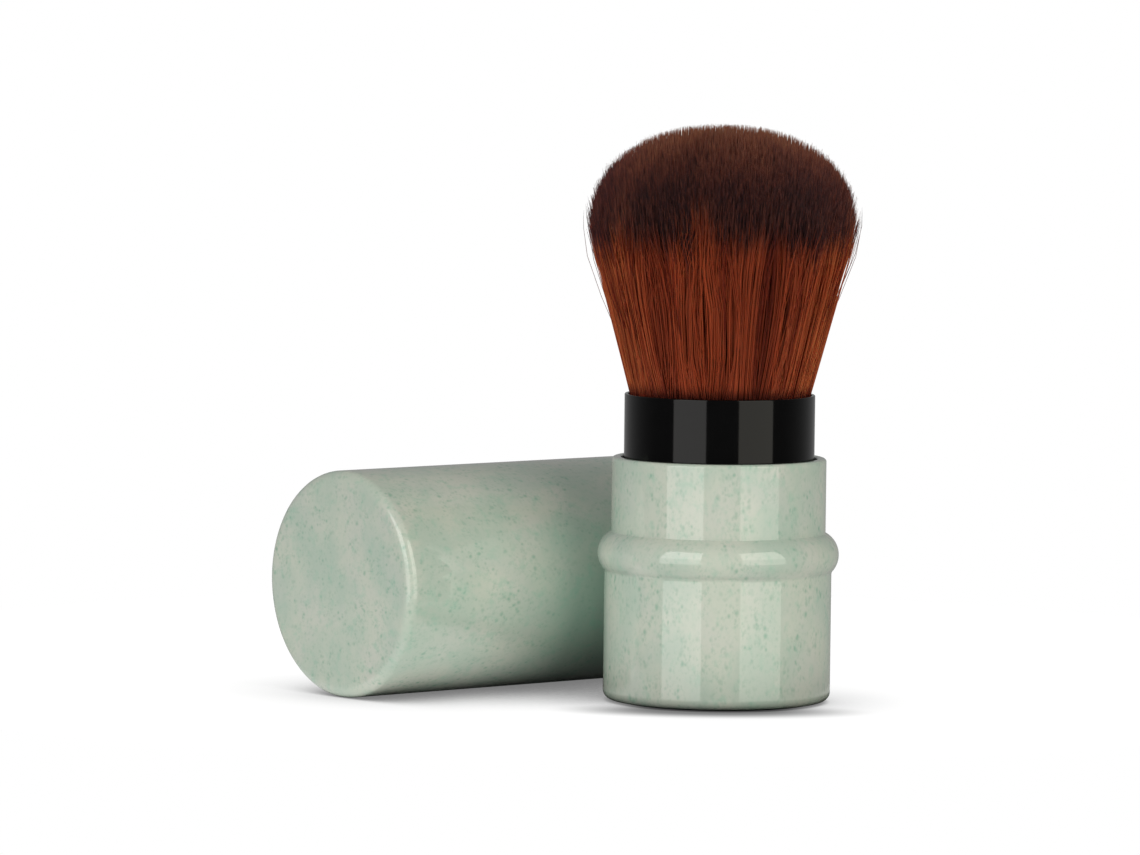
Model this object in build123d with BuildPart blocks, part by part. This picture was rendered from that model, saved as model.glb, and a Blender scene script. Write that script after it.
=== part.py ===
"""Retractable makeup brush with its cap lying beside it. Millimetres, +Z up, the brush axis on Z.

A black tube on a base plug carries the flared tuft. A jade plastic sleeve slides up that tube and
gathers the hair, so that the push-on cap of the same plastic goes over it. Here the sleeve is down,
the hair stands open, and the cap lies on its side, its axis along X and its closed end to -X."""

import os
from math import pi, sqrt

from build123d import *

os.makedirs("parts", exist_ok=True)

# Fits
running_fit = 0.06  # radial, each bush on the tube
drag_fit = 0.03  # radial, the friction ring on the tube
seat_fit = 0.02  # radial, pieces pressed or glued into each other
passing_gap = 0.3  # radial, the plug's flange in the sleeve
stop_gap = 0.3  # left between a bush and the stop ring at each end of the travel

# Inner tube, whose top is the black collar below the hair
tube_radius = 13.4
tube_wall = 0.8
collar_show = 8.9  # how far the tube stands out of the neck
lip_wall = 0.45
lip_depth = 5.5
tube_edge = 0.15

# Base plug
flange_thick = 2.0
plug_depth = 6.0
plug_wall = 1.4
plug_edge = 0.5

# Stop ring, a split ring sprung into a groove of the tube
stop_proud = 1.0
stop_thick = 1.5
stop_groove = 0.3
stop_split = 3.0
stop_clearance = 0.2  # radial, stop ring in the sleeve

# Sleeve
sleeve_wall = 1.4
sleeve_edge = 1.2
foot_land = 0.2  # flat ring left under the sleeve inside its rounded edge
sleeve_foot = 0.2  # the sleeve hangs this far above the floor
body_height = 18.25  # floor to the bead
bead_height = 5.65
bead_peak = 2.7  # height of the bead's widest line above its lower edge
bead_hollow = 1.5  # radius of the hollow where the bead grows out of the body
bead_proud = 1.0
neck_height = 10.5
neck_wall = 1.3
neck_gap = 0.4  # the dark ring between the neck and the collar
neck_edge = 0.5
neck_lip = 1.6  # the neck's rim hides the bush by this much
bore_chamfer = 0.25

# Bushes and friction ring inside the sleeve
bush_wall = 0.82
bush_height = 5.8
bush_flange = 1.0
friction_width = 1.6
friction_depth = 0.4
guide_height = 2.8
guide_gap = 0.6  # guide bush above the plug's flange
bush_chamfer = 0.2

# Holder, ferrule cup and glue inside the tube
cup_recess = 4.8  # cup's rim below the tube's rim
cup_height = 8.5
cup_wall = 0.4
cup_base = 0.5
cup_corner = 0.9
glue_thick = 5.0
thread_height = 1.6
thread_depth = 0.7
holder_disc = 1.6
holder_stem = 4.5
holder_rib = 1.2
holder_gap = 0.3

# Tuft
hair_gap = 0.2  # hair inside the tube's lip
tuft_flare = 5.2  # how far the tuft spreads past the tube
tuft_out = 37.8  # tip of the tuft above the tube's rim
knee_share = 0.51  # of tuft_out: the hair runs straight up to here
knee_radius_share = 0.962  # of tuft_radius
shoulder_share = 0.61  # of tuft_out: the dome starts here
dome_power = 2.3
backing_thick = 1.0
strand_share = 0.62  # a strand's width, of the space from one ring to the next
tip_share = 0.28
short_tip = 0.9  # every second strand ends this much lower
strand_sink = 0.5
strand_rings = 10
core_rings = 6
ring_turn = 137.5  # degrees from the first strand of one ring to that of the next
split_gap = 0.1

# Cap
cap_fit = 0.1  # radial, mouth on the neck
cap_wall = 1.6
cap_end_wall = 1.8
cap_edge = 1.4
cap_mouth_edge = 0.3
cap_inner_corner = 2.5
cap_room = 1.0  # left above the hair even with the sleeve down
cap_seat_gap = 0.2  # left over the neck's rim
cap_side_gap = 0.83  # cap beside the bead, where it lies
cap_end_back = 41.93  # closed end from the brush's axis, towards -X

# Heights and radii that follow
overrun = 1.0
bead_top = body_height + bead_height
neck_top = bead_top + neck_height
tube_top = neck_top + collar_show
tube_bore = tube_radius - tube_wall
sleeve_bore = tube_radius + stop_proud + stop_clearance
sleeve_radius = sleeve_bore + sleeve_wall
bead_radius = sleeve_radius + bead_proud
neck_bore = tube_radius + neck_gap
neck_radius = neck_bore + neck_wall
bush_bore = tube_radius + running_fit
bush_top = neck_top - neck_lip
bush_bottom = bush_top - bush_height
bush_radius = bush_bore + bush_wall
socket_radius = bush_radius + seat_fit
stop_top = bush_bottom - stop_gap
stop_bottom = stop_top - stop_thick
guide_bottom = flange_thick + guide_gap
guide_top = guide_bottom + guide_height
travel = stop_bottom - guide_top - stop_gap
cup_top = tube_top - cup_recess
cup_bottom = cup_top - cup_height
cup_radius = tube_bore - seat_fit
cup_bore = cup_radius - cup_wall
glue_bottom = cup_bottom + cup_base
glue_top = glue_bottom + glue_thick
glue_radius = cup_bore - seat_fit
backing_top = glue_top + backing_thick
tuft_top = tube_top + tuft_out
tuft_radius = tube_radius + tuft_flare
print(f"sleeve travel {travel:.2f} mm, height {tuft_top:.2f} mm")


def wall_section(low, high, radius, bore=0):
    """In a sketch on the XZ plane, the section of a ring or disc that is then turned about Z."""
    with Locations(((radius + bore) / 2, (low + high) / 2)):
        Rectangle(radius - bore, high - low)


# Base plug: a moulded disc that the brush stands on, with a spigot glued into the tube
spigot_radius = tube_bore - seat_fit
with BuildPart() as base_plug:
    with BuildSketch(Plane.XZ):
        wall_section(0, flange_thick, sleeve_bore - passing_gap)
    revolve(axis=Axis.Z)
    fillet(base_plug.edges().filter_by(GeomType.CIRCLE).group_by(Axis.Z)[0], plug_edge)
    with BuildSketch(Plane.XZ):
        wall_section(flange_thick, flange_thick + plug_depth, spigot_radius, spigot_radius - plug_wall)
    revolve(axis=Axis.Z)
    chamfer(base_plug.edges().group_by(Axis.Z)[-1], bore_chamfer)
base_plug.part.label = "base_plug"
export_step(base_plug.part, "parts/base_plug.step")

# Inner tube: drawn and coated black, with a thinned lip round the hair and a groove for the stop ring
with BuildPart() as inner_tube:
    with BuildSketch(Plane.XZ):
        wall_section(flange_thick, tube_top, tube_radius, tube_bore)
    revolve(axis=Axis.Z)
    with BuildSketch(Plane.XY.offset(tube_top - lip_depth)):
        Circle(tube_radius - lip_wall)
    extrude(amount=lip_depth + overrun, mode=Mode.SUBTRACT)
    fillet(inner_tube.edges().filter_by(GeomType.CIRCLE).group_by(Axis.Z)[-1], tube_edge)
    with BuildSketch(Plane.XY.offset(stop_bottom)):
        Circle(tube_radius + overrun)
        Circle(tube_radius - stop_groove, mode=Mode.SUBTRACT)
    extrude(amount=stop_thick, mode=Mode.SUBTRACT)
inner_tube.part.label = "inner_tube"
export_step(inner_tube.part, "parts/inner_tube.step")

# Stop ring: the split ring that ends the sleeve's travel both ways
with BuildPart() as stop_ring:
    with BuildSketch(Plane.XY.offset(stop_bottom + seat_fit)):
        Circle(tube_radius + stop_proud)
        Circle(tube_radius - stop_groove + seat_fit, mode=Mode.SUBTRACT)
        with Locations((tube_radius, 0)):
            Rectangle(tube_radius, stop_split, mode=Mode.SUBTRACT)
    extrude(amount=stop_thick - seat_fit * 2)
stop_ring.part.label = "stop_ring"
export_step(stop_ring.part, "parts/stop_ring.step")

# Holder: the ribbed moulding that stands on the plug and carries the ferrule cup
rib_reach = spigot_radius - plug_wall - holder_gap
with BuildPart() as holder_post:
    with BuildSketch(Plane.XY.offset(flange_thick)):
        Circle(holder_stem)
        Rectangle(rib_reach * 2, holder_rib)
        Rectangle(holder_rib, rib_reach * 2)
    extrude(amount=cup_bottom - flange_thick)
    with BuildSketch(Plane.XY.offset(cup_bottom - holder_disc)):
        Circle(spigot_radius)
    extrude(amount=holder_disc)
holder_post.part.label = "holder_post"
export_step(holder_post.part, "parts/holder_post.step")

# Ferrule cup: the drawn aluminium cup that the roots of the hair are glued into
with BuildPart() as ferrule_cup:
    with BuildSketch(Plane.XY.offset(cup_bottom)):
        Circle(cup_radius)
    extrude(amount=cup_height)
    fillet(ferrule_cup.edges().group_by(Axis.Z)[0], cup_corner)
    with BuildSketch(Plane.XY.offset(glue_bottom)):
        Circle(cup_bore)
    extrude(amount=cup_height, mode=Mode.SUBTRACT)
ferrule_cup.part.label = "ferrule_cup"
export_step(ferrule_cup.part, "parts/ferrule_cup.step")

# Glue plug: the resin that fills the cup under the hair, with the bound waist that the thread pulls in
waist_bottom = glue_bottom + (glue_thick - thread_height) / 2
with BuildPart() as glue_plug:
    with BuildSketch(Plane.XZ):
        wall_section(glue_bottom, glue_top, glue_radius)
    revolve(axis=Axis.Z)
    with BuildSketch(Plane.XY.offset(waist_bottom)):
        Circle(glue_radius + overrun)
        Circle(glue_radius - thread_depth, mode=Mode.SUBTRACT)
    extrude(amount=thread_height, mode=Mode.SUBTRACT)
glue_plug.part.label = "glue_plug"
export_step(glue_plug.part, "parts/glue_plug.step")

# Binding thread: the band of waxed thread round the roots
with BuildPart() as binding_thread:
    with BuildSketch(Plane.XY.offset(waist_bottom)):
        Circle(glue_radius - seat_fit)
        Circle(glue_radius - thread_depth + seat_fit, mode=Mode.SUBTRACT)
    extrude(amount=thread_height)
binding_thread.part.label = "binding_thread"
export_step(binding_thread.part, "parts/binding_thread.step")

# Tuft: rings of tapered strands that fan out of the tube and end on a dome
knee_z = tube_top + tuft_out * knee_share
shoulder_z = tube_top + tuft_out * shoulder_share
root_z = backing_top - strand_sink
knee_reach = tuft_radius * knee_radius_share
mouth_reach = tube_radius - lip_wall - hair_gap
root_reach = mouth_reach - (knee_reach - mouth_reach) * (tube_top - root_z) / (knee_z - tube_top)


def dome_height(ring):
    """Height of the dome over a ring's strands, taken a quarter of a ring inside their middle."""
    share = max(ring - 1 / 4, 0) / strand_rings
    return shoulder_z + (tuft_top - shoulder_z) * (1 - share**dome_power) ** (1 / dome_power)


def ring_spacing(reach, width_share):
    """Step from ring to ring where the outermost strands' outer faces lie at the reach."""
    return reach / (strand_rings + width_share / 2)


def strand_row(ring, reach, height, width_share):
    """Four corners of a strand at one height, before it is turned to its place in the ring."""
    spacing = ring_spacing(reach, width_share)
    middle = ring * spacing
    half = spacing * width_share / 2
    sides = ((-half, -half), (half, -half), (half, half), (-half, half))
    return [Vector(middle + along, across, height) for along, across in sides]


def strand(ring, drop):
    """One four-sided strand of a ring: it widens up to the knee and then runs to its tip."""
    tip_z = dome_height(ring) - drop
    rows = [
        strand_row(ring, root_reach, root_z, strand_share),
        strand_row(ring, knee_reach, knee_z, strand_share),
        strand_row(ring, tuft_radius, tip_z, tip_share),
    ]
    faces = [Face(Wire.make_polygon(rows[0])), Face(Wire.make_polygon(rows[-1]))]
    for lower, upper in zip(rows, rows[1:]):
        for corner in range(4):
            after = (corner + 1) % 4
            around = [lower[corner], lower[after], upper[after], upper[corner]]
            faces.append(Face(Wire.make_polygon(around)))
    return Solid(Shell(faces))


def ring_of_strands(ring):
    """Every strand of one ring, evenly round the axis, long and short by turns."""
    count = max(1, round(2 * pi * ring))
    long_strand, short_strand = strand(ring, 0), strand(ring, short_tip)
    turns = PolarLocations(0, count, start_angle=ring * ring_turn)
    return [turn * (short_strand if place % 2 else long_strand) for place, turn in enumerate(turns)]


split_radius = ring_spacing(root_reach, strand_share) * (core_rings + 1 / 2)

# Core of the tuft, on the middle of the backing
core_strands = [one for ring in range(core_rings + 1) for one in ring_of_strands(ring)]
with BuildPart() as tuft_core:
    with BuildSketch(Plane.XY.offset(glue_top)):
        Circle(split_radius - split_gap / 2)
    extrude(amount=backing_thick)
    add(core_strands, clean=False)
tuft_core.part.label = "tuft_core"
export_step(tuft_core.part, "parts/tuft_core.step")

# Outside of the tuft, on the rest of the backing
outer_strands = [one for ring in range(core_rings + 1, strand_rings + 1) for one in ring_of_strands(ring)]
with BuildPart() as tuft_outer:
    with BuildSketch(Plane.XY.offset(glue_top)):
        Circle(glue_radius)
        Circle(split_radius + split_gap / 2, mode=Mode.SUBTRACT)
    extrude(amount=backing_thick)
    add(outer_strands, clean=False)
tuft_outer.part.label = "tuft_outer"
export_step(tuft_outer.part, "parts/tuft_outer.step")
print(len(core_strands) + len(outer_strands), "strands")

# Outer sleeve: jade plastic, turned inside, with a half-round bead under a narrower neck
with BuildPart() as outer_sleeve:
    with BuildSketch(Plane.XZ):
        with BuildLine():
            Polyline(
                (sleeve_bore, sleeve_foot),
                (sleeve_radius, sleeve_foot),
                (sleeve_radius, body_height),
            )
            ThreePointArc(
                (sleeve_radius, body_height),
                (bead_radius, body_height + bead_peak),
                (neck_radius, bead_top),
            )
            Polyline(
                (neck_radius, bead_top),
                (neck_radius, neck_top),
                (neck_bore, neck_top),
                (neck_bore, bush_top),
                (socket_radius, bush_top),
                (socket_radius, bush_bottom + bush_flange),
                (sleeve_bore, bush_bottom + bush_flange),
                (sleeve_bore, sleeve_foot),
            )
        make_face()
    revolve(axis=Axis.Z)
    hoops = outer_sleeve.edges().filter_by(GeomType.CIRCLE)
    fillet(hoops.sort_by(lambda hoop: abs(hoop.center().Z - body_height))[0], bead_hollow)
    foot = outer_sleeve.edges().group_by(Axis.Z)[0].sort_by(SortBy.RADIUS)
    fillet(foot[-1], min(sleeve_edge, sleeve_wall - foot_land))
    rim = outer_sleeve.edges().group_by(Axis.Z)[-1].sort_by(SortBy.RADIUS)
    fillet(rim[-1], neck_edge)
    rim = outer_sleeve.edges().group_by(Axis.Z)[-1].sort_by(SortBy.RADIUS)
    chamfer(rim[0], bore_chamfer)
outer_sleeve.part.label = "outer_sleeve"
export_step(outer_sleeve.part, "parts/outer_sleeve.step")

# Neck bush: slides on the tube under the neck's rim, and meets the stop ring when the sleeve is down
friction_bottom = bush_bottom + (bush_height - friction_width) / 2
with BuildPart() as neck_bush:
    with BuildSketch(Plane.XZ):
        wall_section(bush_bottom, bush_top, bush_radius, bush_bore)
        wall_section(bush_bottom, bush_bottom + bush_flange, sleeve_bore - seat_fit, bush_bore)
    revolve(axis=Axis.Z)
    with BuildSketch(Plane.XY.offset(friction_bottom)):
        Circle(bush_bore + friction_depth)
    extrude(amount=friction_width, mode=Mode.SUBTRACT)
neck_bush.part.label = "neck_bush"
export_step(neck_bush.part, "parts/neck_bush.step")

# Friction ring: the silicone band in the bush that drags on the tube and holds the sleeve where it is
with BuildPart() as friction_ring:
    with BuildSketch(Plane.XY.offset(friction_bottom + seat_fit)):
        Circle(bush_bore + friction_depth - seat_fit)
        Circle(tube_radius + drag_fit, mode=Mode.SUBTRACT)
    extrude(amount=friction_width - seat_fit * 2)
friction_ring.part.label = "friction_ring"
export_step(friction_ring.part, "parts/friction_ring.step")

# Guide bush: pressed into the sleeve's foot, it steadies the sleeve and meets the stop ring from below
with BuildPart() as guide_bush:
    with BuildSketch(Plane.XZ):
        wall_section(guide_bottom, guide_top, sleeve_bore - seat_fit, bush_bore)
    revolve(axis=Axis.Z)
    chamfer(guide_bush.edges().filter_by(GeomType.CIRCLE), bush_chamfer)
guide_bush.part.label = "guide_bush"
export_step(guide_bush.part, "parts/guide_bush.step")

# Cap: one jade plastic shell with a rounded closed end and a wider mouth that goes over the neck
cap_radius = sleeve_radius
mouth_radius = neck_radius + cap_fit
mouth_depth = neck_height + cap_seat_gap
cap_bore = cap_radius - cap_wall
cap_length = tuft_top - bead_top + cap_room + cap_end_wall
bead_level = body_height + bead_peak
cap_reach = sqrt(max(cap_radius**2 - (bead_level - cap_radius) ** 2, 0))
cap_y = bead_radius + cap_reach + cap_side_gap
cap_middle = (-cap_end_back, cap_y, cap_radius)
with BuildPart() as cap_shell:
    with BuildSketch(Plane(origin=cap_middle, x_dir=(1, 0, 0), z_dir=(0, -1, 0))):
        with BuildLine():
            Polyline(
                (0, 0),
                (0, cap_radius),
                (cap_length, cap_radius),
                (cap_length, mouth_radius),
                (cap_length - mouth_depth, mouth_radius),
                (cap_length - mouth_depth, cap_bore),
                (cap_end_wall, cap_bore),
                (cap_end_wall, 0),
                (0, 0),
            )
        make_face()
    revolve(axis=Axis(cap_middle, (1, 0, 0)))
    fillet(cap_shell.edges().filter_by(GeomType.CIRCLE).group_by(Axis.X)[1], cap_inner_corner)
    shoulder = cap_shell.edges().filter_by(GeomType.CIRCLE).group_by(Axis.X)[-2]
    chamfer(shoulder.sort_by(SortBy.RADIUS)[0], bore_chamfer)
    mouth = cap_shell.edges().filter_by(GeomType.CIRCLE).group_by(Axis.X)[-1]
    fillet(mouth.sort_by(SortBy.RADIUS)[-1], cap_mouth_edge)
    fillet(cap_shell.edges().filter_by(GeomType.CIRCLE).group_by(Axis.X)[0], cap_edge)
cap_shell.part.label = "cap_shell"
export_step(cap_shell.part, "parts/cap_shell.step")
print(f"cap length {cap_length:.2f}, axis y {cap_y:.2f} z {cap_radius:.2f}, mouth x {cap_length - cap_end_back:.2f}")
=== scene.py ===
from math import cos, pi, radians, sin, sqrt, tan, tau

import bmesh
import bpy
import numpy as np
from mathutils import Matrix, Vector


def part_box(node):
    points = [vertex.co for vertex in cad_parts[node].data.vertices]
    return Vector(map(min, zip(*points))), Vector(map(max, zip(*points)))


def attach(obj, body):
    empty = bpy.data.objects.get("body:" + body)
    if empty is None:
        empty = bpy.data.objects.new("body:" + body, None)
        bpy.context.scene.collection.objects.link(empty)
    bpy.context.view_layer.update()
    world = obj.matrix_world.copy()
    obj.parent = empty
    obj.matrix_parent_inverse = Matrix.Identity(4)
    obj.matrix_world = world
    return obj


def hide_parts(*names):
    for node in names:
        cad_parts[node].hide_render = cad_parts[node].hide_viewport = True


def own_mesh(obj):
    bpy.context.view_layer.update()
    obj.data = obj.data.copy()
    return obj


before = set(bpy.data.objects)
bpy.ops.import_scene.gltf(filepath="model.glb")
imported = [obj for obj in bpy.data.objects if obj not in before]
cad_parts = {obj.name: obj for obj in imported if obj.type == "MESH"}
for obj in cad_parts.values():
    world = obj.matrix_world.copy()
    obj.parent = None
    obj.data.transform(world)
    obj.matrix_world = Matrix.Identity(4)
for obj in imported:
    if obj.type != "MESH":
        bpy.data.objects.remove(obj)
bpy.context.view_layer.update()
mm = 0.001

# Base plug: the black moulded disc that closes the foot of the tube and stands on the table. It is
# satin black plastic with a slightly softer surface than the tube, and shows only from below or
# when the sleeve is up.


class Wire:
    """One socket of a shader tree. Sums, differences and products of wires add Math nodes."""

    def __init__(self, tree, socket=None):
        self.tree = tree
        self.socket = socket

    def node(self, kind, settings=None, inputs=None, output=0):
        """Adds a node: its settings first, then a value or a wire on each input."""
        made = self.tree.nodes.new(kind)
        for key, value in (settings or {}).items():
            setattr(made, key, value)
        for key, value in (inputs or {}).items():
            if isinstance(value, Wire):
                self.tree.links.new(value.socket, made.inputs[key])
            else:
                made.inputs[key].default_value = value
        return Wire(self.tree, made.outputs[output] if made.outputs else None)

    def math(self, operation, *values):
        return self.node("ShaderNodeMath", {"operation": operation}, dict(enumerate(values)))

    def __add__(self, other):
        return self.math("ADD", self, other)

    __radd__ = __add__

    def __mul__(self, other):
        return self.math("MULTIPLY", self, other)

    __rmul__ = __mul__

    def __sub__(self, other):
        return self.math("SUBTRACT", self, other)

    def __rsub__(self, other):
        return self.math("SUBTRACT", other, self)

    def rise(self, low, high):
        """0 below low, 1 above high, and a smooth step between them."""
        return self.node(
            "ShaderNodeMapRange",
            {"interpolation_type": "SMOOTHSTEP"},
            {"Value": self, "From Min": low, "From Max": high},
        )

    def mix(self, low, high):
        """The colour low where this wire is 0 and high where it is 1.

        A Mix node's sockets share their names, so those of its colours go by number."""
        return self.node("ShaderNodeMix", {"data_type": "RGBA"}, {0: self, 6: low, 7: high}, output=2)

    def noise(self, spot, scale, detail=2.0, roughness=0.5):
        inputs = {"Vector": spot, "Scale": scale, "Detail": detail, "Roughness": roughness}
        return self.node("ShaderNodeTexNoise", {}, inputs)

    def bump(self, height, depth, strength):
        """A surface raised by the wire height, at most by depth in metres."""
        inputs = {"Height": height, "Distance": depth, "Strength": strength}
        return self.node("ShaderNodeBump", {}, inputs)

    def spot(self, scale=(1.0, 1.0, 1.0)):
        """The place on the piece in metres. A scale under 1 draws the pattern out along its axis."""
        coordinates = self.node("ShaderNodeTexCoord", output="Object")
        return self.node("ShaderNodeMapping", {}, {"Vector": coordinates, "Scale": scale})

    def surface(self, **sockets):
        """Ends a material with a Principled shader; the words of a socket's name are joined by _."""
        inputs = {name.replace("_", " "): value for name, value in sockets.items()}
        shader = self.node("ShaderNodeBsdfPrincipled", {}, inputs)
        self.node("ShaderNodeOutputMaterial", {}, {"Surface": shader})


def new_finish(name):
    """An empty material and the wire that its nodes are added through."""
    material = bpy.data.materials.new(name)
    material.use_nodes = True
    material.node_tree.nodes.clear()
    return material, Wire(material.node_tree)


def dress(node_name, material):
    """Gives a CAD node, whose shape is kept, its finish."""
    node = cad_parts[node_name]
    if not node.material_slots:
        node.data.materials.append(material)
    for slot in node.material_slots:
        slot.material = material


def moulded(name, colour, roughness, grain, depth):
    """Moulded plastic or rubber: faint mottling in colour and gloss, and a fine even grain.

    grain is the grain's scale and depth its height in metres."""
    mottle_scale = 300.0
    darkest_share = 0.8
    gloss_spread = 0.1
    material, wire = new_finish(name)
    spot = wire.spot()
    mottle = wire.noise(spot, mottle_scale, 3.0)
    fine = wire.noise(spot, grain, 2.0)
    darker = tuple(part * darkest_share for part in colour[:3]) + (1.0,)
    wire.surface(
        Base_Color=mottle.mix(darker, colour),
        Roughness=mottle * gloss_spread + (roughness - gloss_spread / 2),
        Normal=wire.bump(fine, depth, 0.4),
    )
    return material


satin_black = moulded("satin_black_plastic", (0.012, 0.012, 0.013, 1.0), 0.32, 2500.0, 0.00003)
dress("base_plug", satin_black)

# Holder post: the ribbed off-white moulding that stands on the base plug inside the tube and carries
# the ferrule cup. It is hidden in use.

holder_white = moulded("holder_white_plastic", (0.72, 0.71, 0.67, 1.0), 0.45, 1800.0, 0.00004)
dress("holder_post", holder_white)

# Ferrule cup, glue and thread: a drawn aluminium cup, the amber resin poured into it, and the band
# of waxed thread round the roots of the hair.

dark_aluminium = (0.62, 0.62, 0.63, 1)
light_aluminium = (0.82, 0.82, 0.83, 1)
drawn_metal, wire = new_finish("drawn_aluminium")
drawing = wire.noise(wire.spot((1.0, 1.0, 0.04)), 2600.0, 3.0)
wire.surface(
    Base_Color=drawing.mix(dark_aluminium, light_aluminium),
    Metallic=1.0,
    Roughness=drawing * 0.2 + 0.2,
)
dress("ferrule_cup", drawn_metal)

deep_amber = (0.33, 0.17, 0.05, 1)
pale_amber = (0.52, 0.33, 0.12, 1)
resin, wire = new_finish("amber_resin")
clouding = wire.noise(wire.spot(), 260.0, 4.0)
wire.surface(Base_Color=clouding.mix(deep_amber, pale_amber), Roughness=clouding * 0.15 + 0.15)
dress("glue_plug", resin)

between_turns = (0.42, 0.36, 0.26, 1)
thread_cream = (0.7, 0.64, 0.5, 1)
waxed_thread, wire = new_finish("waxed_thread")
turns = wire.node(
    "ShaderNodeTexWave",
    {"bands_direction": "Z"},
    {"Vector": wire.spot(), "Scale": 900.0, "Distortion": 0.6},
)
wire.surface(
    Base_Color=turns.mix(between_turns, thread_cream),
    Roughness=0.55,
    Normal=wire.bump(turns, 0.0001, 0.6),
)
dress("binding_thread", waxed_thread)

# Inner tube: drawn thin-walled tube with a hard gloss black coat. Its top is the collar under the
# hair, and its rim is thinned and rounded. It is glued over the plug's spigot.

spare_gap = 0.15
room_for_spare = 2.5
same_place = 0.01 * mm
turning_steps = 192
rounding_steps = 7


def turned_shell(name, outline, soft_corners):
    """Turns a closed outline of (radius, height) in mm about Z and rounds some of its corners.

    soft_corners lists (corner's number in the outline, radius in mm). A spare ring beside each one
    keeps the straight walls next to it straight in the light."""
    rounding = dict(soft_corners)
    stations = []
    for number, corner in enumerate(outline):
        here = Vector(corner)
        before = Vector(outline[number - 1]) - here
        after = Vector(outline[(number + 1) % len(outline)]) - here
        spare = rounding.get(number, 0) + spare_gap
        if number in rounding and before.length > room_for_spare * spare:
            stations.append(here + before.normalized() * spare)
        stations.append(here)
        if number in rounding and after.length > room_for_spare * spare:
            stations.append(here + after.normalized() * spare)
    bm = bmesh.new()
    ring = [bm.verts.new((radius * mm, 0, height * mm)) for radius, height in stations]
    sides = [bm.edges.new((ring[place - 1], ring[place])) for place in range(len(ring))]
    whole_turn = {"cent": (0, 0, 0), "axis": (0, 0, 1), "angle": tau, "use_merge": True}
    bmesh.ops.spin(bm, geom=ring + sides, steps=turning_steps, **whole_turn)
    bmesh.ops.recalc_face_normals(bm, faces=bm.faces)
    for corner, size in soft_corners:
        radius, height = (length * mm for length in outline[corner])
        on_corner = {
            vertex
            for vertex in bm.verts
            if abs(vertex.co.xy.length - radius) < same_place and abs(vertex.co.z - height) < same_place
        }
        hoop = [edge for edge in bm.edges if on_corner.issuperset(edge.verts)]
        bmesh.ops.bevel(
            bm,
            geom=hoop,
            offset=size * mm,
            affect="EDGES",
            segments=rounding_steps,
            profile=0.5,
            material=-1,
        )
    return finished(name, bm)


def finished(name, bm, crease=28):
    """Makes the piece's object from its bmesh, smooth but where it turns by more than the crease."""
    mesh = bpy.data.meshes.new(name)
    bm.to_mesh(mesh)
    bm.free()
    mesh.polygons.foreach_set("use_smooth", [True] * len(mesh.polygons))
    mesh.set_sharp_from_angle(angle=radians(crease))
    piece = bpy.data.objects.new(name, mesh)
    bpy.context.scene.collection.objects.link(piece)
    return piece


tube_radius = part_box("inner_tube")[1][0] / mm
tube_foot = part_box("inner_tube")[0][2] / mm
tube_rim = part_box("inner_tube")[1][2] / mm
tube_wall = 0.8
lip_wall = 0.45
lip_depth = 5.5
groove_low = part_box("stop_ring")[0][2] / mm
groove_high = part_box("stop_ring")[1][2] / mm
groove_depth = 0.3
collar = turned_shell(
    "collar_tube",
    [
        (tube_radius, tube_foot),
        (tube_radius, groove_low),
        (tube_radius - groove_depth, groove_low),
        (tube_radius - groove_depth, groove_high),
        (tube_radius, groove_high),
        (tube_radius, tube_rim),
        (tube_radius - lip_wall, tube_rim),
        (tube_radius - lip_wall, tube_rim - lip_depth),
        (tube_radius - tube_wall, tube_rim - lip_depth),
        (tube_radius - tube_wall, tube_foot),
    ],
    [(5, 0.15), (6, 0.12)],
)
deep_black = (0.0016, 0.0016, 0.0017, 1)
hazy_black = (0.0026, 0.0026, 0.0027, 1)
gloss_black, wire = new_finish("gloss_black_coat")
haze = wire.noise(wire.spot(), 500.0, 3.0)
wire.surface(
    Base_Color=haze.mix(deep_black, hazy_black),
    Roughness=haze * 0.04 + 0.05,
    Specular_IOR_Level=0.235,
)
collar.data.materials.append(gloss_black)
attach(collar, "root")
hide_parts("inner_tube")

# Stop ring: the split ring of bright spring steel, sprung into the tube's groove. It ends the
# sleeve's travel both ways and is hidden inside the sleeve.

dark_steel = (0.42, 0.42, 0.43, 1)
light_steel = (0.6, 0.6, 0.6, 1)
spring_steel, wire = new_finish("bright_spring_steel")
rolling = wire.noise(wire.spot((1.0, 1.0, 0.1)), 1800.0, 3.0)
wire.surface(
    Base_Color=rolling.mix(dark_steel, light_steel),
    Metallic=1.0,
    Roughness=rolling * 0.15 + 0.25,
)
dress("stop_ring", spring_steel)

# Outer sleeve: pale jade resin, turned and polished. It has a rounded foot, a half-round bead and a
# narrower neck, all in one piece, and slides on two black bushes and a silicone ring.

cloud_grey = (0.42, 0.507, 0.433, 1)
cloud_cream = (0.507, 0.55, 0.474, 1)
blush_white = (0.545, 0.54, 0.508, 1)
patch_green = (0.29, 0.48, 0.375, 1)
speck_green = (0.15, 0.33, 0.235, 1)
fleck_green = (0.17, 0.36, 0.265, 1)
cloud_and_reflection_green = (0.34, 0.56, 0.445, 1)
cloud_and_reflection_reach = (0.002, 0.019)
# Each size of speck: its cells' scale, its radius as a share of a cell, and its strength
speck_sizes = ((750.0, 0.37, 0.55), (1200.0, 0.44, 0.5), (2100.0, 0.55, 0.26))


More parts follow.
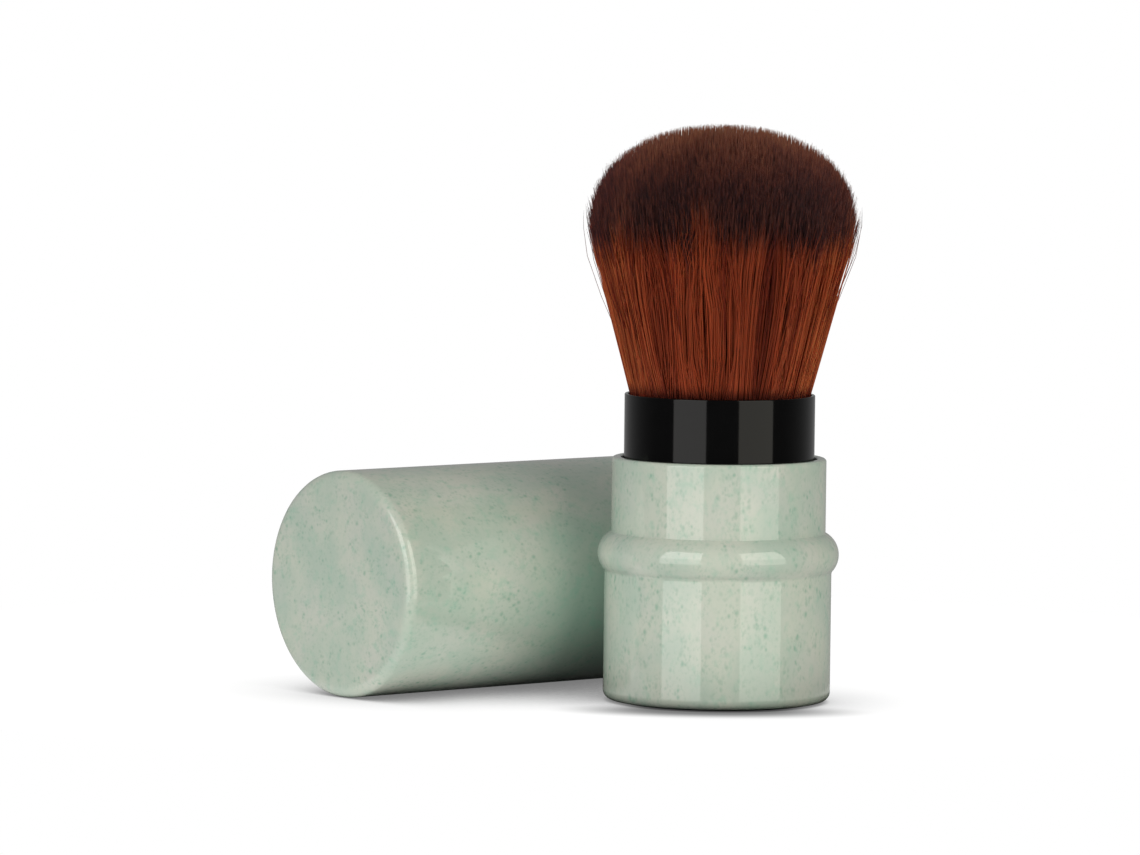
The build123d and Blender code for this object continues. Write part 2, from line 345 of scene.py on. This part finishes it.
def jade(name, lengthwise, green_cloud_and_reflection=None):
    """Clouded grey-green resin with off-white patches and fine soft green specks and flecks.

    lengthwise is the pattern's scale along each axis, under 1 where the moulding drew it out, and
    the last argument, if given, is the middle of one large greener cloud in metres, partly marbling
    and partly painted reflection of green light into the shade beside the sleeve."""
    material, wire = new_finish(name)
    spot = wire.spot(lengthwise)
    cloud = wire.noise(spot, 135.0, 3.0, 0.5).rise(0.34, 0.66)
    blush = wire.noise(spot, 185.0, 2.0).rise(0.46, 0.68)
    base = cloud.mix(cloud_grey, cloud_cream)
    base = (blush * 0.28).mix(base, blush_white)
    patch = wire.noise(spot, 560.0, 4.0, 0.65).rise(0.5, 0.72)
    base = (patch * 0.45).mix(base, patch_green)
    green_zone = wire.noise(spot, 300.0, 3.0).rise(0.36, 0.62)
    for scale, size, strength in speck_sizes:
        off_centre = wire.node("ShaderNodeTexVoronoi", {}, {"Vector": spot, "Scale": scale})
        picked = wire.noise(spot, scale * 0.6, 2.0).rise(0.43, 0.6) * (green_zone * 0.65 + 0.35)
        speck = (1 - off_centre.rise(size * 0.1, size)) * picked
        base = (speck * strength).mix(base, speck_green)
    fleck = wire.noise(spot, 1500.0, 3.0, 0.6).rise(0.5, 0.74) * (green_zone * 0.75 + 0.25)
    base = (fleck * 0.3).mix(base, fleck_green)
    # Painted reflection: the large greener cloud is partly marbling and partly the green light that the
    # sleeve throws into the cap's shade.
    if green_cloud_and_reflection:
        away = wire.node(
            "ShaderNodeVectorMath",
            {"operation": "DISTANCE"},
            {0: wire.spot(), 1: green_cloud_and_reflection},
            output="Value",
        )
        cloud_and_reflection = (1 - away.rise(*cloud_and_reflection_reach)) * (patch * 0.3 + 0.6)
        base = cloud_and_reflection.mix(base, cloud_and_reflection_green)
    ripple = wire.noise(spot, 60.0, 1.0)
    wire.surface(
        Base_Color=base,
        Roughness=patch * 0.03 + 0.03,
        Specular_IOR_Level=0.6,
        Normal=wire.bump(ripple, 0.00003, 0.1),
    )
    return material


def circle_middle(start, middle, end):
    """The middle of the circle through three points."""
    (ax, ay), (bx, by), (cx, cy) = start, middle, end
    double_area = 2 * (ax * (by - cy) + bx * (cy - ay) + cx * (ay - by))
    squares = [x * x + y * y for x, y in (start, middle, end)]
    x0 = (squares[0] * (by - cy) + squares[1] * (cy - ay) + squares[2] * (ay - by)) / double_area
    y0 = (squares[0] * (cx - bx) + squares[1] * (ax - cx) + squares[2] * (bx - ax)) / double_area
    return Vector((x0, y0))


def arc(middle, start, end, count):
    """Points on the circle about middle, from start the short way round to end."""
    first, last = Vector(start) - middle, Vector(end) - middle
    sweep = -first.angle_signed(last)
    turns = [Matrix.Rotation(sweep * step / count, 2) for step in range(count + 1)]
    return [tuple(middle + turn @ first) for turn in turns]


sleeve_low, sleeve_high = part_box("outer_sleeve")
sleeve_foot = sleeve_low[2] / mm
neck_top = sleeve_high[2] / mm
sleeve_bore = 14.6
body_radius = 16.0
body_height = 18.4
bead_radius = 17.0
bead_level = 20.95
bead_top = 23.9
bead_hollow = 0.8
hollow_steps = 8
bead_steps = 18
neck_radius = 15.1
neck_bore = 13.8
neck_lip = 1.6
bush_flange = 1.0
bush_top = neck_top - neck_lip
bush_radius = 14.3
bush_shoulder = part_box("neck_bush")[0][2] / mm + bush_flange
bead_middle = circle_middle((body_radius, body_height), (bead_radius, bead_level), (neck_radius, bead_top))
bead_bend = (Vector((neck_radius, bead_top)) - bead_middle).length
hollow_out = body_radius + bead_hollow - bead_middle.x
hollow_down = sqrt((bead_hollow + bead_bend) ** 2 - hollow_out**2)
hollow_middle = bead_middle + Vector((hollow_out, -hollow_down))
meeting = hollow_middle.lerp(bead_middle, bead_hollow / (bead_hollow + bead_bend))
bead = arc(hollow_middle, (body_radius, hollow_middle.y), meeting, hollow_steps)
bead += arc(bead_middle, meeting, (neck_radius, bead_top), bead_steps)[1:]
sleeve_outline = [
    (sleeve_bore, sleeve_foot),
    (body_radius, sleeve_foot),
    *bead,
    (neck_radius, neck_top),
    (neck_bore, neck_top),
    (neck_bore, bush_top),
    (bush_radius, bush_top),
    (bush_radius, bush_shoulder),
    (sleeve_bore, bush_shoulder),
]
foot_corner = 1
rim_corner = 2 + len(bead)
sleeve = turned_shell(
    "jade_sleeve",
    sleeve_outline,
    [(foot_corner, 1.3), (rim_corner, 0.45), (rim_corner + 1, 0.22), (rim_corner - 1, 0.1)],
)
sleeve.data.materials.append(jade("jade_resin_sleeve", (1.0, 1.0, 0.7)))
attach(sleeve, "sleeve")
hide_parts("outer_sleeve")

bush_black = moulded("bush_black_plastic", (0.02, 0.02, 0.021, 1.0), 0.4, 2200.0, 0.00003)
dress("neck_bush", bush_black)
dress("guide_bush", bush_black)
silicone = moulded("grey_silicone", (0.11, 0.11, 0.115, 1.0), 0.6, 1500.0, 0.00003)
dress("friction_ring", silicone)

# Hair: straight dyed fibre, red-brown below and nearly black above, with paler tips. It is glued in
# the cup, fans out to a dome and lies in wisps. It is built in locks round the axis.

# The hair's colour holds painted light: its tips are paler partly as painted backlight, and painted shade
# darkens it in the tube, deep inside and between the wisps.
hair_mouth = 12.7
root_inset = 1.5
hair_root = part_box("tuft_core")[0][2] / mm + root_inset
dome_radius = 18.62
dome_foot = 66.3
dome_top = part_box("tuft_core")[1][2] / mm
dome_power = 2.3
fan_slope = 0.262
fan_knee = 60.0
fan_fade = 0.0042
fan_fade_end = 21.0
chance = np.random.default_rng(11)


def fan_radius(height):
    """Outer radius of the fan of hair at a height, all in mm; its flare eases off above the knee."""
    above = np.clip(height - fan_knee, 0, fan_fade_end)
    return hair_mouth + fan_slope * (height - tube_rim) - fan_fade * above**2


def dome(radius):
    """Height of the dome of tips at a radius."""
    inside = np.clip(1 - (radius / dome_radius) ** dome_power, 0, 1)
    return dome_foot + (dome_top - dome_foot) * inside ** (1 / dome_power)


def waves(angle, *parts):
    """A sum of waves round the head. Each part gives a wave's height, count and phase."""
    return sum(height * np.sin(count * angle + phase) for height, count, phase in parts)


wisp_counts = (43, 29, 94)
wisp_shares = (0.55, 0.25, 0.2)
wisp_unevenness = 0.38
wisp_lean = 2.8
wisp_pull = (0.1, 0.5)
wisp_lift = (-0.25, 0.2)
wisp_dye = 0.7
wide_wisp_dye = 27
wisp_overlap = 0.008


class Wisps:
    """A ring of wisps: each has its middle, and leans, stands out and is dyed in its own way."""

    def __init__(self, count):
        uneven = chance.uniform(-wisp_unevenness, wisp_unevenness, count)
        self.edges = (np.arange(count) + uneven) * tau / count
        self.lean = chance.normal(0, wisp_lean / count, count)
        self.pull = chance.uniform(*wisp_pull, count)
        self.lift = chance.uniform(*wisp_lift, count)
        self.shade = chance.random(count)
        self.dye = chance.normal(0, wisp_dye + wide_wisp_dye / count, count)

    def find(self, angle):
        """The number of the wisp at each angle, how far that is from its middle, and half its width."""
        place = (angle + chance.normal(0, wisp_overlap, angle.shape)) % tau
        number = np.searchsorted(self.edges, place) - 1
        low, high = self.edges[number], np.append(self.edges, self.edges[0] + tau)[number + 1]
        low = np.where(number < 0, low - tau, low)
        high = np.where(number < 0, self.edges[0], high)
        return number, place - (low + high) / 2, (high - low) / 2


wisp_rings = [Wisps(count) for count in wisp_counts]

fibre_cuts = (0.16, 0.4, 0.62, 0.8, 0.92, 0.97)
fibre = bmesh.new()
on_root = Matrix.Translation((0, 0, 0.5))
bmesh.ops.create_cone(fibre, cap_ends=True, segments=3, radius1=1, radius2=1, depth=1, matrix=on_root)
for cut in fibre_cuts:
    everything = fibre.verts[:] + fibre.edges[:] + fibre.faces[:]
    bmesh.ops.bisect_plane(fibre, geom=everything, plane_co=(0, 0, cut), plane_no=(0, 0, 1))
fibre_mesh = bpy.data.meshes.new("one_fibre")
fibre.to_mesh(fibre_mesh)
fibre.free()
across, outward, along = np.array([vertex.co for vertex in fibre_mesh.vertices]).T

dark_plum = (0.0155, 0.0076, 0.0106, 1)
pale_copper = (0.2, 0.046, 0.028, 1)
deep_red = (0.1, 0.01, 0.005, 1)
light_red = (0.42, 0.066, 0.02, 1)
red_in_painted_shade = (0.06, 0.008, 0.004, 1)
hair_finish, wire = new_finish("dyed_hair")
tip_gap, shade, dye_line, pale_tips_and_backlight = (
    wire.node("ShaderNodeAttribute", {"attribute_name": name}, output="Fac")
    for name in ("tip_gap", "shade", "dye_line", "pale_tips_and_backlight")
)
# The tips' paleness is partly painted backlight.
pale_and_backlit = pale_tips_and_backlight * (1 - tip_gap.rise(0.3, 2.9))
dark_tip = (pale_and_backlit + shade * 0.04).mix(dark_plum, pale_copper)
height_here = wire.node("ShaderNodeSeparateXYZ", {}, {0: wire.spot()}, output="Z")
# Painted shade: the red hair darkens from a little above the tube's rim down into the tube.
above_rim_shade = height_here.rise((tube_rim - 0.3) * mm, (tube_rim + 2.2) * mm)
red_brown = above_rim_shade.mix(red_in_painted_shade, shade.mix(deep_red, light_red))
undyed = (tip_gap - dye_line).rise(0.0, 5.0)
wire.surface(
    Base_Color=undyed.mix(dark_tip, red_brown),
    Roughness=0.5,
    Specular_IOR_Level=0.22,
    Subsurface_Weight=0.24,
    Subsurface_Radius=(1.0, 0.27, 0.14),
    Subsurface_Scale=0.0008,
)

lock_count = 16
lock_width = tau / lock_count
inner_fibres = 1000
shell_fibres = 1300
loose_fibres = 5
fibre_count = inner_fibres + shell_fibres
shell_depth = 2.0
shell_limit = 8.0
shortfall_shape = 2.0
inner_shortfall = 0.32
shell_shortfall = 0.38
longest_tip = 0.25
lowest_shade = 0.3
shade_spread = 0.35
inner_painted_shade = 0.45
wisp_shade = 0.45
gap_painted_shade = 0.4
crossing_shade = 1.0
loose_shade = -0.3
dye_height = 67.2
dye_spread = 0.7
top_backlight_from = 73.0
top_backlight_span = 8.0
least_tip_paleness = 0.05
top_painted_backlight = 0.7
tip_paleness_spread = 0.16
outside_painted_backlight = 0.22
painted_backlight_depth = 0.6
wisp_tip_paleness = 0.12
crown_lift = 0.35
crown_level = 0.38
parting = radians(-141)
parting_dye = 4.5
parting_width = 0.08
parting_edge = 0.03
parting_reach = 0.3
parting_opening = 0.08
lean_spread = 0.26
slant_spread = 0.011
curl_spread = 0.02
outward_lean = 0.22
inward_lean = 0.2
stray_share = 0.012
stray_lean = 4
crossing_share = 0.004
crossing_turn = 0.12
crossing_lift = 0.2
most_outward = 0.9
loose_sector = (0.08, 0.3)
loose_inset = 0.3
loose_from = 51.5
loose_foot = 50.0
loose_bow = (0.5, 2.2)
loose_turn_back = 0.85
loose_thickness = 0.048
thinnest = 0.05
thickness_spread = 0.026
tip_thinning = 0.8
sway = 0.07
sway_way = radians(-40)


class Lock:
    """One lock: a sector of the brush head, in mm and radians.

    Its arrays have a row for each fibre, first the inner ones, then the shell's, the last of which
    are the loose ones; depth has the shell's rows alone. A column is a vertex of a fibre."""

    def __init__(self, number):
        self.number = number
        self.set_out()
        self.dye()
        self.lay_in_wisps()
        self.part()
        self.ruffle()

    def set_out(self):
        """Places each tip on the dome, and each fibre on its line from the root to there."""
        self.angle = (self.number + chance.random(fibre_count)) * lock_width
        self.angle[-loose_fibres:] = (self.number + chance.uniform(*loose_sector, loose_fibres)) * lock_width
        self.reach = (dome_radius - shell_depth / 2) * np.sqrt(chance.random(fibre_count))
        self.depth = chance.exponential(shell_depth, shell_fibres)
        evenly = shell_depth * chance.random(shell_fibres)
        self.reach[inner_fibres:] = dome_radius - np.where(self.depth < shell_limit, self.depth, evenly)
        self.reach[-loose_fibres:] = dome_radius - loose_inset
        short = chance.gamma(shortfall_shape, inner_shortfall, fibre_count) - longest_tip
        short[inner_fibres:] = chance.gamma(shortfall_shape, shell_shortfall, shell_fibres) - longest_tip
        self.tip = dome(self.reach) - short
        self.length = self.tip - hair_root
        self.height = hair_root + along[None, :] * self.length[:, None]
        self.risen = np.clip((self.height - tube_rim) / (dome_foot - tube_rim), 0, 1.6)
        self.swell = np.sin(np.clip(self.risen, 0, 1) * pi) ** 0.8
        self.share = self.reach / fan_radius(dome(self.reach))
        self.radius = self.share[:, None] * fan_radius(self.height)
        self.turn = np.repeat(self.angle[:, None], len(along), axis=1)

    def dye(self):
        """Sets each fibre's lightness, darker inside as painted shade, where its dye begins, and how pale its
        tip is, partly as painted backlight.
        """
        self.shade = lowest_shade + shade_spread * chance.random(fibre_count)
        # Painted shade: the inner fibres are darker, for the shade deep inside the head.
        self.shade[:inner_fibres] -= inner_painted_shade
        self.shade += waves(self.angle, (0.1, 5, 1), (0.1, 13, 4))
        self.dye_level = dye_height + chance.normal(0, dye_spread, fibre_count)
        # Painted backlight: tips high on the dome and on the outside of the head are paler, for light shining
        # through them.
        high_up = np.clip((self.tip - top_backlight_from) / top_backlight_span, 0, 1)
        self.pale_tips_and_backlight = least_tip_paleness + high_up * top_painted_backlight + chance.normal(0, tip_paleness_spread, fibre_count)
        self.pale_tips_and_backlight[inner_fibres:] += outside_painted_backlight * np.exp(-self.depth / painted_backlight_depth)

    def lay_in_wisps(self):
        """Gives each fibre to a wisp of one of the rings, which bends and colours it, with painted shade in
        the gaps.
        """
        choice = chance.choice(len(wisp_rings), fibre_count, p=wisp_shares)
        for place, wisps in enumerate(wisp_rings):
            mine = choice == place
            which, off, half_width = wisps.find(self.angle[mine])
            swell = self.swell[mine]
            crown = 1 - (off / half_width) ** 2
            pull = (wisps.pull[which] * off)[:, None] * swell
            self.turn[mine] += wisps.lean[which][:, None] * swell - pull
            lift = wisps.lift[which] + crown_lift * crown - crown_level
            self.radius[mine] += lift[:, None] * swell * self.share[mine][:, None]
            # Painted shade: fibres near a wisp's edges are darker, for the shade in the gaps between wisps.
            self.shade[mine] += wisp_shade * wisps.shade[which] - gap_painted_shade * (1 - crown) ** 2
            self.dye_level[mine] += wisps.dye[which]
            self.pale_tips_and_backlight[mine] += wisp_tip_paleness * wisps.dye[which]

    def part(self):
        """Opens the parting at the front, and lets the wisps flow a little to either side."""
        away = (self.angle - parting + pi) % tau - pi
        self.dye_level += parting_dye * np.exp(-((away / parting_width) ** 2))
        opening = parting_opening * np.tanh(away / parting_edge) * np.exp(-((away / parting_reach) ** 2))
        self.turn += opening[:, None] * np.sin(np.clip(self.risen * 1.3, 0, 1) * pi)
        flow = waves(self.angle, (0.03, 7, 1), (0.024, 12, 4), (0.018, 19, 2))
        self.turn += flow[:, None] * self.swell

    def ruffle(self):
        """Bends single fibres: most a little, the stray, crossing and loose ones more."""
        lean = chance.normal(0, lean_spread, (2, fibre_count))
        slant = chance.normal(0, slant_spread, fibre_count)[:, None] * self.risen
        curl = chance.normal(0, curl_spread, fibre_count)[:, None] * self.risen**3
        self.turn += slant + curl
        stray = chance.random(fibre_count) < stray_share
        lean[:, stray] *= stray_lean
        crossing = chance.random(fibre_count) < crossing_share
        self.turn[crossing] += chance.normal(0, crossing_turn, crossing.sum())[:, None] * self.risen[crossing]
        self.radius[crossing] += crossing_lift * self.swell[crossing]
        self.shade[crossing] = crossing_shade
        loose_span = (self.tip[-loose_fibres:] - loose_foot)[:, None]
        free = np.clip((self.height[-loose_fibres:] - loose_from) / loose_span, 0, 1)
        bow = chance.uniform(*loose_bow, loose_fibres)[:, None]
        self.radius[-loose_fibres:] += bow * np.sin(free * pi * loose_turn_back)
        self.shade[-loose_fibres:] = loose_shade
        lean[1, inner_fibres:] += chance.exponential(outward_lean, shell_fibres) - inward_lean
        self.radius = self.radius + np.minimum(lean[1], most_outward)[:, None] * along**3
        self.turn = self.turn + (lean[0] / np.maximum(self.reach, 3))[:, None] * along**2
        self.thickness = thinnest + thickness_spread * chance.random(fibre_count)
        self.thickness[-loose_fibres:] = loose_thickness

    def places(self):
        """Every vertex of every fibre."""
        width_here = self.thickness[:, None] * (1 - tip_thinning * along**14)
        outer = self.radius + outward * width_here
        side = across * width_here
        x_axis, y_axis = np.cos(self.turn), np.sin(self.turn)
        swayed = sway * self.risen**2
        x_place = outer * x_axis - side * y_axis + swayed * cos(sway_way)
        y_place = outer * y_axis + side * x_axis + swayed * sin(sway_way)
        return np.stack([x_place, y_place, self.height], axis=-1)

    def colours(self):
        """The values that the hair's finish reads, by name."""
        points = len(along)
        return {
            "tip_gap": (1 - along[None, :]) * self.length[:, None],
            "shade": np.repeat(self.shade, points),
            "dye_line": np.repeat(np.maximum(self.tip - self.dye_level, -1.2), points),
            "pale_tips_and_backlight": np.repeat(np.clip(self.pale_tips_and_backlight, 0.03, 0.9), points),
        }


for number in range(lock_count):
    fibres = Lock(number)
    bm = bmesh.new()
    for _ in range(fibre_count):
        bm.from_mesh(fibre_mesh)
    lock = finished(f"hair_lock_{number + 1}", bm, crease=180)
    lock.data.vertices.foreach_set("co", (fibres.places() * mm).ravel())
    for name, value in fibres.colours().items():
        layer = lock.data.attributes.new(name, "FLOAT", "POINT")
        layer.data.foreach_set("value", np.ravel(value).astype(np.float32))
    lock.data.update()
    lock.data.materials.append(hair_finish)
    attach(lock, "root")
    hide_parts("tuft_core", "tuft_outer")
    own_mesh(lock)
bpy.data.meshes.remove(fibre_mesh)

# Cap: one deep shell of the same jade resin, with a flat closed end, its edge well rounded, and a
# wider mouth that goes over the neck. It lies on its side on the table.

cap_low, cap_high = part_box("cap_shell")
cap_radius = (cap_high[2] - cap_low[2]) / 2 / mm
cap_length = (cap_high[0] - cap_low[0]) / mm
cap_wall = 1.6
cap_bore = cap_radius - cap_wall
cap_end_wall = 1.8
mouth_radius = 15.2
mouth_depth = 10.7
near_axis = 0.001
cap = turned_shell(
    "jade_cap",
    [
        (near_axis, 0),
        (cap_radius, 0),
        (cap_radius, cap_length),
        (mouth_radius, cap_length),
        (mouth_radius, cap_length - mouth_depth),
        (cap_bore, cap_length - mouth_depth),
        (cap_bore, cap_end_wall),
        (near_axis, cap_end_wall),
    ],
    [(1, 1.4), (2, 0.3), (3, 0.15), (5, 0.2), (6, 2.5)],
)
lying_down = Matrix(((0, 0, 1), (0, 1, 0), (-1, 0, 0))).to_4x4()
cap_end = Matrix.Translation((cap_low[0], (cap_low[1] + cap_high[1]) / 2, (cap_low[2] + cap_high[2]) / 2))
cap.data.transform(cap_end @ lying_down)
# Painted reflection: the greener cloud lies where the cap is shaded beside the sleeve.
cap_cloud_and_reflection = (-0.006, 0.018, 0.011)
cap.data.materials.append(jade("jade_resin_cap", (0.85, 1.0, 1.0), cap_cloud_and_reflection))
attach(cap, "cap")
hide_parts("cap_shell")

# Studio: a pale floor that fades into a white background, two tall softboxes in front of the brush
# at its left and right, brighter in their upper part, and a long lens almost level with it.

white = (1, 1, 1, 1)
black = (0, 0, 0, 1)
camera_turn = 0.705
camera_tilt = 0.071
camera_roll = 0.011
camera_distance = 1057.2 * mm
camera_side = -21.02 * mm
camera_lift = 38.24 * mm
film_width = 36
focal_length = 236.84
ahead = Vector((sin(camera_turn) * cos(camera_tilt), cos(camera_turn) * cos(camera_tilt), -sin(camera_tilt)))
level_right = Vector((cos(camera_turn), -sin(camera_turn), 0))
level_up = level_right.cross(ahead)
toward_camera = Vector((-ahead.x, -ahead.y, 0)).normalized()
camera_place = level_right * camera_side + level_up * camera_lift - ahead * camera_distance
right = level_right * cos(camera_roll) + level_up * sin(camera_roll)
up = level_up * cos(camera_roll) - level_right * sin(camera_roll)
lens = bpy.data.cameras.new("camera")
lens.sensor_width = film_width
lens.lens = focal_length
camera = bpy.data.objects.new("camera", lens)
camera.matrix_world = Matrix.Translation(camera_place) @ Matrix((right, up, -ahead)).transposed().to_4x4()
bpy.context.scene.collection.objects.link(camera)
bpy.context.scene.camera = camera

floor_size = 0.12
floor_middle = (0.015, 0.045, 0)
floor_fade = (0.07, 0.115)
floor_grey = (0.85, 0.85, 0.85, 1)
painted_share = 0.9
shadow_reach = 0.02
deepest_shadow = 0.185
pool_size = (0.021, 0.009, 1)
pool_edge = (0.35, 1.15)
deepest_pool = 0.28
foot_edge = (0.018, 0.028)
unseen_glow = 0.33
bm = bmesh.new()
floor_place = Matrix.Translation(floor_middle)
bmesh.ops.create_circle(bm, cap_ends=True, segments=96, radius=floor_size, matrix=floor_place)
floor = finished("floor", bm)
floor_finish, wire = new_finish("white_table")
seen = wire.node("ShaderNodeLightPath", output="Is Camera Ray")
mirrored = wire.node("ShaderNodeLightPath", output="Is Glossy Ray")
spot = wire.node("ShaderNodeTexCoord", output="Object")
away = wire.node(
    "ShaderNodeVectorMath",
    {"operation": "DISTANCE"},
    {0: spot, 1: floor_middle},
    output="Value",
)
fade = away.rise(*floor_fade)
open_sky = wire.node(
    "ShaderNodeAmbientOcclusion",
    {"samples": 8},
    {"Distance": shadow_reach},
    output="AO",
)
# Painted shadow: the floor's glow for the camera is darkened by ambient occlusion round the pieces.
shadowed = open_sky * 0.375 + open_sky.rise(0.0, 0.8) * 0.44 + deepest_shadow
# Painted shadow: a soft pool of shade painted on the floor in front of the sleeve's foot.
before_foot = toward_camera * 14 * mm - level_right * 1 * mm
pool = wire.node(
    "ShaderNodeMapping",
    {"vector_type": "TEXTURE"},
    {
        "Vector": spot,
        "Location": before_foot,
        "Rotation": (0, 0, level_right.to_2d().angle_signed(Vector((1, 0)))),
        "Scale": pool_size,
    },
)
pool_reach = wire.node("ShaderNodeVectorMath", {"operation": "LENGTH"}, {0: pool}, output="Value")
shade_seen = shadowed * (pool_reach.rise(*pool_edge) * (1 - deepest_pool) + deepest_pool)
# Painted shade: for all but camera rays the floor is darker within about 3 cm of the sleeve's foot, which
# shades the foot.
from_foot = wire.node("ShaderNodeVectorMath", {"operation": "LENGTH"}, {0: spot}, output="Value")
shade_unseen = open_sky.rise(0.06, 0.5) * from_foot.rise(*foot_edge)
glow_seen = fade + (1 - fade) * shade_seen
wire.surface(
    Base_Color=(seen * painted_share).mix(shade_unseen.mix(black, floor_grey), black),
    Roughness=0.8,
    Specular_IOR_Level=0.0,
    Emission_Color=white,
    Emission_Strength=seen * glow_seen + (1 - seen) * shade_unseen * unseen_glow,
    Alpha=1 - mirrored * open_sky.rise(0.8, 0.97),
)
floor.data.materials.append(floor_finish)

room_light = 0.31
front_gloom = 0.08
back_glow = 0.3
glow_edge = (-0.2, 0.95)
world = bpy.data.worlds.new("studio")
bpy.context.scene.world = world
world.use_nodes = True
world.node_tree.nodes.clear()
wire = Wire(world.node_tree)
camera_ray = wire.node("ShaderNodeLightPath", output="Is Camera Ray")
glossy_ray = wire.node("ShaderNodeLightPath", output="Is Glossy Ray")
direction = wire.node("ShaderNodeTexCoord", output="Generated")
behind = wire.node(
    "ShaderNodeVectorMath",
    {"operation": "DOT_PRODUCT"},
    {0: direction, 1: -toward_camera},
    output="Value",
)
gloss_light = behind.rise(*glow_edge) * (back_glow - front_gloom) + front_gloom
level = camera_ray + (1 - camera_ray) * (glossy_ray * gloss_light + (1 - glossy_ray) * room_light)
room = wire.node("ShaderNodeBackground", {}, {"Color": white, "Strength": level})
wire.node("ShaderNodeOutputWorld", {}, {"Surface": room})

# Each softbox: its side, its near and far edge in degrees from the lens, and its tint
softbox_sides = (("left", -58, -17, (0.91, 0.895, 0.87)), ("right", 22, 66, (0.795, 0.765, 0.68)))
# Each part of a softbox: its name, its lower and upper edge in degrees, and its radiance
softbox_parts = (("lower", -10, 13, 2.0), ("upper", 13, 44, 3.5))
softbox_distance = 0.9
for side, near_side, far_side, tint in softbox_sides:
    for part, low, high, radiance in softbox_parts:
        way = Matrix.Rotation(radians(near_side + far_side) / 2, 3, "Z") @ toward_camera
        wide = 2 * softbox_distance * tan(radians(far_side - near_side) / 2)
        bottom, top = softbox_distance * tan(radians(low)), softbox_distance * tan(radians(high))
        lamp = bpy.data.lights.new(f"{side}_{part}_softbox", "AREA")
        lamp.shape = "RECTANGLE"
        lamp.size = wide
        lamp.size_y = top - bottom
        lamp.energy = radiance * pi * wide * (top - bottom)
        lamp.color = tint
        box = bpy.data.objects.new(lamp.name, lamp)
        box.location = way * softbox_distance + Vector((0, 0, (bottom + top) / 2))
        box.rotation_euler = way.to_track_quat("Z", "Y").to_euler()
        bpy.context.scene.collection.objects.link(box)

bpy.context.scene.view_settings.view_transform = "Standard"
